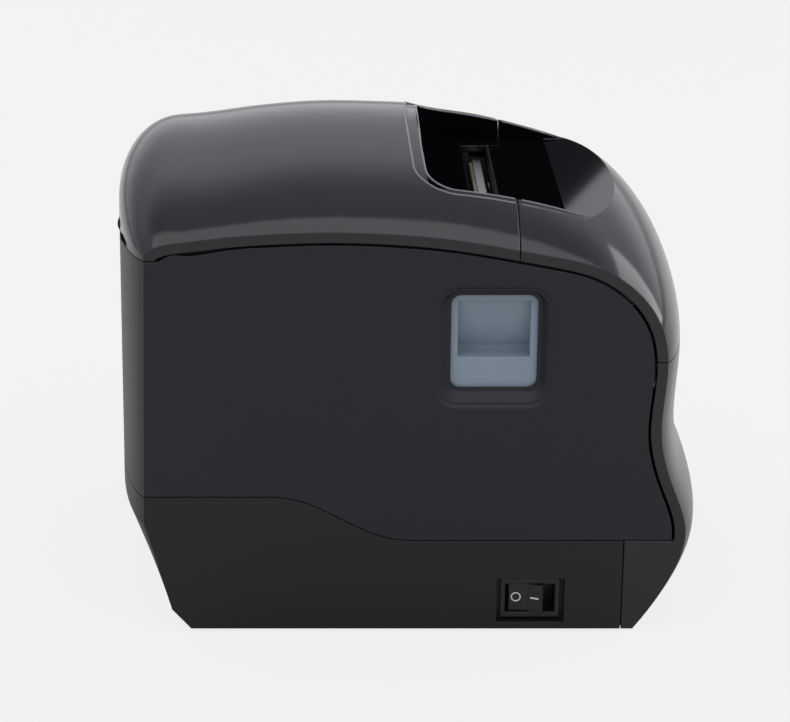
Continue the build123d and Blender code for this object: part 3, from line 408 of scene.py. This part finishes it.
def wind(shape, foot, along, spring):
    # closed coils at both ends, open ones between
    side = along.cross(acrossAxis)
    length = spring["end"] - spring["start"]
    steps = int(spring["turns"] * winding["stepsPerTurn"])
    path = []
    for i in range(steps + 1):
        share = i / steps
        eased = min(max((share - winding["closedTurns"]) / (1 - 2 * winding["closedTurns"]), 0), 1)
        climb = winding["closedRise"] * share + (1 - winding["closedRise"]) * eased
        rise = winding["inset"] + (length - 2 * winding["inset"]) * climb
        a = 2 * pi * spring["turns"] * share
        path.append(foot + along * rise + (acrossAxis * cos(a) + side * sin(a)) * spring["radius"])
    tubeAlong(shape, path, [spring["wire"]] * len(path), along, winding["sides"])


for side, label in ((-1, "left"), (1, "right")):
    foot = Vector((side * latchSpring["x"], latchSpring["y"], latchSpring["start"]))
    name = f"latch_spring_{label}"
    latchCoil = bmesh.new()
    wind(latchCoil, foot, upAxis, latchSpring)
    coil = pieceFrom(f"{name}_coil", latchCoil, finishes["spring_steel"], nodes[name]["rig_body"])
    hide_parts(name)
    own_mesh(coil)
headCoils = bmesh.new()
for side in (-1, 1):
    wind(headCoils, Vector((side * headSpring["x"], headSpring["start"], headSpring["z"])), depthAxis, headSpring)
headCoil = pieceFrom("head_springs_coils", headCoils, finishes["spring_steel"],
                     nodes["head_springs"]["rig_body"])
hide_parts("head_springs")
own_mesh(headCoil)


print("marks on the rocker")
rockerMark = {"tilt": 12.8, "pivot": (-0.0653, -0.0428, 0.0126), "face": 0.0060, "slant": 9.2, "proud": 0.00006,
              "ring": 0.0018, "line": 0.00042, "ringAt": 0.0036, "ringSteps": 40,
              "bar": 0.0031, "barWidth": 0.00063, "barAt": -0.0031, "barEdge": 0.00008, "barSegments": 2}


def onRocker(side, along):
    # from flat on the rocker's slanting face to its place at rest
    slant = radians(rockerMark["slant"])
    lean = Matrix.Rotation(slant * side, 4, "Z")
    face = Matrix.Translation((-rockerMark["face"] - abs(along) * tan(slant), along, 0))
    turn = Matrix.Rotation(radians(-rockerMark["tilt"]), 4, "Z")
    return Matrix.Translation(rockerMark["pivot"]) @ turn @ face @ lean @ Matrix.Rotation(radians(-90), 4, "Y")


markPaint = moulded("markPaint", {"colour": (0.62, 0.66, 0.70), "rough": 0.45, "grain": 0.02,
                                  "grainScale": 1500.0, "edge": 0.00005})
inner, outer, proud = rockerMark["ring"] - rockerMark["line"], rockerMark["ring"], rockerMark["proud"]
ringMark = bmesh.new()
corners = [ringMark.verts.new((across, 0, up))
           for across, up in ((inner, -proud), (outer, -proud), (outer, proud), (inner, proud))]
section = [ringMark.edges.new((corners[i], corners[(i + 1) % 4])) for i in range(4)]
bmesh.ops.spin(ringMark, geom=corners + section, cent=(0, 0, 0), axis=(0, 0, 1), angle=2 * pi,
               steps=rockerMark["ringSteps"], use_merge=True)
bmesh.ops.transform(ringMark, matrix=onRocker(1, rockerMark["ringAt"]), verts=ringMark.verts)
pieceFrom("switch_mark_ring", ringMark, markPaint, "rocker")
barMark = bmesh.new()
barSize = Matrix.Diagonal((rockerMark["barWidth"], rockerMark["bar"], 2 * proud, 1))
bmesh.ops.create_cube(barMark, size=1, matrix=barSize)
bmesh.ops.bevel(barMark, geom=barMark.edges, offset=rockerMark["barEdge"], segments=rockerMark["barSegments"],
                profile=0.5, affect="EDGES", material=-1)
bmesh.ops.transform(barMark, matrix=onRocker(-1, rockerMark["barAt"]), verts=barMark.verts)
pieceFrom("switch_mark_bar", barMark, markPaint, "rocker")


print("camera, floor and lights")
view = {"at": (-0.8841, 0.0280, 0.3985), "down": 20.0, "lens": 113.92, "sensor": 36, "shift": 0.0797, "near": 0.01}
camera = bpy.data.objects.new("camera", bpy.data.cameras.new("camera"))
camera.location = view["at"]
camera.rotation_euler = (radians(90 - view["down"]), 0, radians(-90))
camera.data.lens = view["lens"]
camera.data.sensor_width = view["sensor"]
camera.data.shift_x = view["shift"]
camera.data.clip_start = view["near"]
bpy.context.scene.collection.objects.link(camera)
bpy.context.scene.camera = camera

pale = tint(0.888, 0.888, 0.888)
ground = {"size": 60.0, "colour": (0.62, 0.62, 0.62), "glow": 1.03, "glowShare": 0.90}
floorMesh = bmesh.new()
bmesh.ops.create_grid(floorMesh, x_segments=1, y_segments=1, size=ground["size"])
floorData = bpy.data.meshes.new("floor")
floorMesh.to_mesh(floorData)
floorMesh.free()
floor = bpy.data.objects.new("floor", floorData)
bpy.context.scene.collection.objects.link(floor)
paper, paperNet = blankMaterial("floorPaper")
cameraRay = paperNet.node("ShaderNodeLightPath", output="Is Camera Ray")
matt = paperNet.node("ShaderNodeBsdfDiffuse", {}, {"Color": tint(*ground["colour"])})
glow = paperNet.node("ShaderNodeEmission", {}, {"Color": pale, "Strength": ground["glow"]})
soft = paperNet.node("ShaderNodeMixShader", {}, {0: ground["glowShare"], 1: matt, 2: glow})
seen = paperNet.node("ShaderNodeMixShader", {}, {0: cameraRay, 1: matt, 2: soft})
paperNet.node("ShaderNodeOutputMaterial", {}, {"Surface": seen})
floorData.materials.append(paper)

surround = {"ambient": 0.62, "mirrored": 1.15, "cool": (0.98, 0.99, 1.06),
            "upward": [(0.0, 0.80), (0.30, 0.60), (0.45, 0.66), (0.60, 0.84), (0.70, 0.90), (0.78, 0.72),
                       (0.85, 0.58), (0.92, 0.48), (0.98, 0.50)],
            "rearward": [(0.0, 1.0), (0.15, 0.95), (0.5, 0.78), (1.0, 1.0)]}
# a dark card beyond the far side, low down, whose slanting edge shows in the polished floor of the paper exit
darkCard = {"slant": (0.369, 1.0, -0.916), "frontward": (-0.070, -1.0, 0.0), "beyond": 0.5, "above": 0.02,
            "colour": (0.02, 0.02, 0.022)}
world = bpy.data.worlds.new("studio")
bpy.context.scene.world = world
world.use_nodes = True
sky = Net(world.node_tree)
toward = sky.node("ShaderNodeTexCoord", output=0)
toFar, toRear, toTop = sky.axes(toward)
fade = sky.node("ShaderNodeValToRGB", {"stops": surround["upward"]}, {0: toTop})
rearShade = sky.node("ShaderNodeValToRGB", {"stops": surround["rearward"]}, {0: toRear})
shaded = sky.node("ShaderNodeVectorMath", {"operation": "MULTIPLY"}, {0: fade, 1: rearShade})
edgeSide = sky.node("ShaderNodeVectorMath", {"operation": "DOT_PRODUCT"}, {0: toward, 1: darkCard["slant"]}, output=1)
frontSide = sky.node("ShaderNodeVectorMath", {"operation": "DOT_PRODUCT"}, {
    0: toward, 1: darkCard["frontward"]}, output=1)
card = (edgeSide > 0.0) * (frontSide > 0.0) * (toFar > darkCard["beyond"]) * (toTop > darkCard["above"])
carded = sky.mixColour(card, shaded, tint(*darkCard["colour"]))
cool = sky.node("ShaderNodeVectorMath", {"operation": "MULTIPLY"}, {0: carded, 1: surround["cool"]})
cameraRay = sky.node("ShaderNodeLightPath", output="Is Camera Ray")
glossyRay = sky.node("ShaderNodeLightPath", output="Is Glossy Ray")
plain = sky.node("ShaderNodeBackground", {}, {"Color": pale, "Strength": 1.0})
ambient = sky.node("ShaderNodeBackground", {}, {"Color": tint(1, 1, 1), "Strength": surround["ambient"]})
mirrored = sky.node("ShaderNodeBackground", {}, {"Color": cool, "Strength": surround["mirrored"]})
lit = sky.node("ShaderNodeMixShader", {}, {0: glossyRay, 1: ambient, 2: mirrored})
backdrop = sky.node("ShaderNodeMixShader", {}, {0: cameraRay, 1: lit, 2: plain})
sky.node("ShaderNodeOutputWorld", {}, {"Surface": backdrop})

lampAim = Vector((0, 0, 0.1))
softboxes = {"nearBox": {"at": (-0.75, 0.05, 1.45), "size": (2.4, 1.0), "power": 9.0, "mirrored": True},
             "frontBox": {"at": (0.3, -1.5, 0.7), "size": (1.2, 1.2), "power": 12.0, "mirrored": True},
             "farBox": {"at": (0.9, 0.9, 1.1), "size": (1.4, 1.4), "power": 8.0, "mirrored": False}}
for name, box in softboxes.items():
    lamp = bpy.data.lights.new(name, "AREA")
    lamp.shape = "RECTANGLE"
    lamp.size, lamp.size_y = box["size"]
    lamp.energy = box["power"]
    lampObject = bpy.data.objects.new(name, lamp)
    lampObject.location = box["at"]
    lampObject.rotation_euler = (lampAim - Vector(box["at"])).to_track_quat("-Z", "Y").to_euler()
    lampObject.visible_glossy = box["mirrored"]
    bpy.context.scene.collection.objects.link(lampObject)

bpy.context.scene.view_settings.view_transform = "Standard"
print("done")
